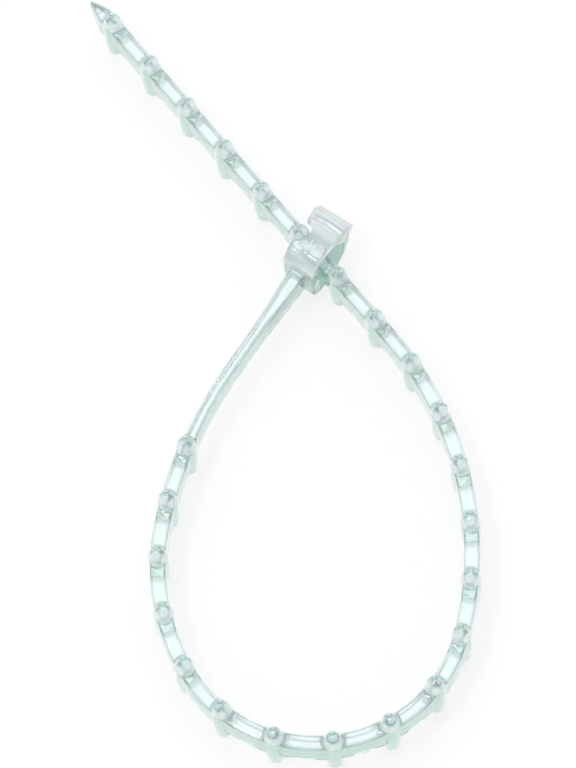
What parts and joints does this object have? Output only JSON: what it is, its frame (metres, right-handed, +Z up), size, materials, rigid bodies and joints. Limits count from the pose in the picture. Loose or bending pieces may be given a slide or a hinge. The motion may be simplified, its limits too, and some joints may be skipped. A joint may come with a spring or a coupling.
{
  "type": "cable tie",
  "caption": "Clear releasable beaded cable tie, closed into a teardrop loop, with its tail passed through the round head and a bead resting on it.",
  "frame": {"origin": "bottom centre of the bounding box, on the surface the tie lies on", "axes": "+Z up, along the beads. +Y from the bottom of the loop towards the tail's tip. +X to the right, seen from -Y and above"},
  "size_m": [0.0351, 0.0712, 0.0088],
  "materials": {
    "clear_plastic": "clear, faintly green, gloss"
  },
  "bodies": {
    "root": {"cable_tie": "clear_plastic"}
  },
  "joints": []
}
